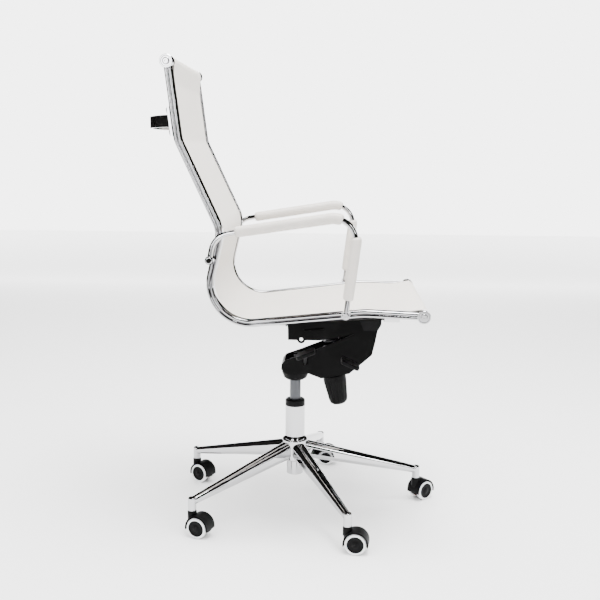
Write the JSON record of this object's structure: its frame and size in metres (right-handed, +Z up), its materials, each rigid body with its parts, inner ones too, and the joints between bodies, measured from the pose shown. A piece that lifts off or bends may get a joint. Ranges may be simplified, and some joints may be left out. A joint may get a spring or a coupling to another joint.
{
  "type": "swivel office chair",
  "caption": "High-back office chair with a mesh sling in a chrome rail frame, padded loop arms, knee-tilt mechanism, gas lift and star base on twin-wheel casters.",
  "frame": {"origin": "on the floor, on the axis of the swivel column", "axes": "+Z up; the front of the chair faces -Y; -X is the sitter's right, where the levers are"},
  "size_m": [0.6521, 0.7221, 1.113],
  "materials": {
    "chrome": "mirror polished plating",
    "plain_steel": "zinc plated",
    "black_steel": "satin powder coat",
    "black_nylon": "fine moulded texture",
    "dark_grey_plastic": "satin moulded",
    "grey_cylinder": "satin grey paint",
    "mesh_fabric": "coated woven mesh, off-white",
    "white_leather": "soft coated leather, light creases",
    "wheel_tyre": "pale tyre moulded round a black disc"
  },
  "bodies": {
    "base": {"base_hub": "chrome", "base_leg_1": "chrome", "base_leg_2": "chrome", "base_leg_3": "chrome", "base_leg_4": "chrome", "base_leg_5": "chrome", "caster_stems": "plain_steel", "column_tube": "chrome", "guide_bush": "black_nylon", "thrust_bearing": "plain_steel"},
    "spindle": {"piston_rod": "plain_steel", "retaining_clip": "plain_steel"},
    "lift": {"gas_cylinder": "grey_cylinder", "mech_housing": "black_steel", "tilt_spring": "plain_steel"},
    "release": {"release_pin": "plain_steel"},
    "height_lever": {"height_lever": "black_nylon"},
    "lock_lever": {"lock_lever": "black_nylon"},
    "knob": {"tension_knob": "black_nylon", "tension_bolt": "plain_steel"},
    "seat": {"mech_channel": "black_steel", "pivot_shaft": "plain_steel", "pivot_covers": "dark_grey_plastic", "plate_bolts": "black_steel", "rail_left": "chrome", "rail_right": "chrome", "top_tube": "chrome", "front_tube": "chrome", "end_caps": "chrome", "frame_screws": "chrome", "sling": "mesh_fabric", "back_stretcher": "chrome", "seat_bar_rear": "chrome", "seat_bar_front": "chrome", "arm_left": "chrome", "arm_right": "chrome", "arm_sleeve_top_left": "white_leather", "arm_sleeve_top_right": "white_leather", "arm_sleeve_front_left": "white_leather", "arm_sleeve_front_right": "white_leather"},
    "caster_1": {"caster_1_hood": "black_nylon", "caster_1_axle": "plain_steel"},
    "wheel_1_a": {"caster_1_wheel_a": "wheel_tyre"},
    "wheel_1_b": {"caster_1_wheel_b": "wheel_tyre"},
    "caster_2": {"caster_2_hood": "black_nylon", "caster_2_axle": "plain_steel"},
    "wheel_2_a": {"caster_2_wheel_a": "wheel_tyre"},
    "wheel_2_b": {"caster_2_wheel_b": "wheel_tyre"},
    "caster_3": {"caster_3_hood": "black_nylon", "caster_3_axle": "plain_steel"},
    "wheel_3_a": {"caster_3_wheel_a": "wheel_tyre"},
    "wheel_3_b": {"caster_3_wheel_b": "wheel_tyre"},
    "caster_4": {"caster_4_hood": "black_nylon", "caster_4_axle": "plain_steel"},
    "wheel_4_a": {"caster_4_wheel_a": "wheel_tyre"},
    "wheel_4_b": {"caster_4_wheel_b": "wheel_tyre"},
    "caster_5": {"caster_5_hood": "black_nylon", "caster_5_axle": "plain_steel"},
    "wheel_5_a": {"caster_5_wheel_a": "wheel_tyre"},
    "wheel_5_b": {"caster_5_wheel_b": "wheel_tyre"}
  },
  "joints": [
    {"name": "seat_swivel", "type": "hinge", "parent": "base", "child": "spindle", "pos_m": [0, 0, 0.1], "axis": [0, 0, 1], "continuous": true},
    {"name": "seat_height", "type": "slide", "parent": "spindle", "child": "lift", "axis": [0, 0, 1], "range_m": [-0.045, 0.055]},
    {"name": "seat_tilt", "type": "hinge", "parent": "lift", "child": "seat", "pos_m": [0, -0.185, 0.48], "axis": [-1, 0, 0], "range_deg": [0, 12], "stiffness_Nm_per_rad": 130, "springref_deg": -22.92, "deforming": ["tilt_spring"]},
    {"name": "tension", "type": "hinge", "parent": "lift", "child": "knob", "pos_m": [0, -0.0985, 0.345], "axis": [0, 0.1857, 0.9826], "range_deg": [-900, 900]},
    {"name": "height_lift", "type": "hinge", "parent": "lift", "child": "height_lever", "pos_m": [-0.042, -0.026, 0.388], "axis": [0, 1, 0], "range_deg": [0, 6], "stiffness_Nm_per_rad": 3, "springref_deg": -5.73},
    {"name": "pin_press", "type": "slide", "parent": "lift", "child": "release", "axis": [0, 0, -1], "range_m": [0, 0.0055], "stiffness_N_per_m": 400},
    {"name": "tilt_lock", "type": "hinge", "parent": "lift", "child": "lock_lever", "pos_m": [0, -0.12, 0.39], "axis": [1, 0, 0], "range_deg": [0, 25]},
    {"name": "caster_1_swivel", "type": "hinge", "parent": "base", "child": "caster_1", "pos_m": [-0.21756, 0.2333, 0.06], "axis": [0, 0, 1], "continuous": true},
    {"name": "wheel_1_a_spin", "type": "hinge", "parent": "caster_1", "child": "wheel_1_a", "pos_m": [-0.2244, 0.21451, 0.025], "axis": [0.9397, -0.342, 0], "continuous": true},
    {"name": "wheel_1_b_spin", "type": "hinge", "parent": "caster_1", "child": "wheel_1_b", "pos_m": [-0.2244, 0.21451, 0.025], "axis": [0.9397, -0.342, 0], "continuous": true},
    {"name": "caster_2_swivel", "type": "hinge", "parent": "base", "child": "caster_2", "pos_m": [-0.28911, -0.13481, 0.06], "axis": [0, 0, 1], "continuous": true},
    {"name": "wheel_2_a_spin", "type": "hinge", "parent": "caster_2", "child": "wheel_2_a", "pos_m": [-0.29155, -0.15467, 0.025], "axis": [0.9925, -0.1219, 0], "continuous": true},
    {"name": "wheel_2_b_spin", "type": "hinge", "parent": "caster_2", "child": "wheel_2_b", "pos_m": [-0.29155, -0.15467, 0.025], "axis": [0.9925, -0.1219, 0], "continuous": true},
    {"name": "caster_3_swivel", "type": "hinge", "parent": "base", "child": "caster_3", "pos_m": [0.03888, -0.31662, 0.06], "axis": [0, 0, 1], "continuous": true},
    {"name": "wheel_3_a_spin", "type": "hinge", "parent": "caster_3", "child": "wheel_3_a", "pos_m": [0.05173, -0.33194, 0.025], "axis": [0.766, 0.6428, 0], "continuous": true},
    {"name": "wheel_3_b_spin", "type": "hinge", "parent": "caster_3", "child": "wheel_3_b", "pos_m": [0.05173, -0.33194, 0.025], "axis": [0.766, 0.6428, 0], "continuous": true},
    {"name": "caster_4_swivel", "type": "hinge", "parent": "base", "child": "caster_4", "pos_m": [0.31314, -0.06087, 0.06], "axis": [0, 0, 1], "continuous": true},
    {"name": "wheel_4_a_spin", "type": "hinge", "parent": "caster_4", "child": "wheel_4_a", "pos_m": [0.30796, -0.08019, 0.025], "axis": [0.9659, -0.2588, 0], "continuous": true},
    {"name": "wheel_4_b_spin", "type": "hinge", "parent": "caster_4", "child": "wheel_4_b", "pos_m": [0.30796, -0.08019, 0.025], "axis": [0.9659, -0.2588, 0], "continuous": true},
    {"name": "caster_5_swivel", "type": "hinge", "parent": "base", "child": "caster_5", "pos_m": [0.15465, 0.279, 0.06], "axis": [0, 0, 1], "continuous": true},
    {"name": "wheel_5_a_spin", "type": "hinge", "parent": "caster_5", "child": "wheel_5_a", "pos_m": [0.14465, 0.26168, 0.025], "axis": [0.866, -0.5, 0], "continuous": true},
    {"name": "wheel_5_b_spin", "type": "hinge", "parent": "caster_5", "child": "wheel_5_b", "pos_m": [0.14465, 0.26168, 0.025], "axis": [0.866, -0.5, 0], "continuous": true}
  ],
  "couplings": [
    {"joint": "pin_press", "follows": "height_lift", "m_per_rad": 0.05}
  ]
}
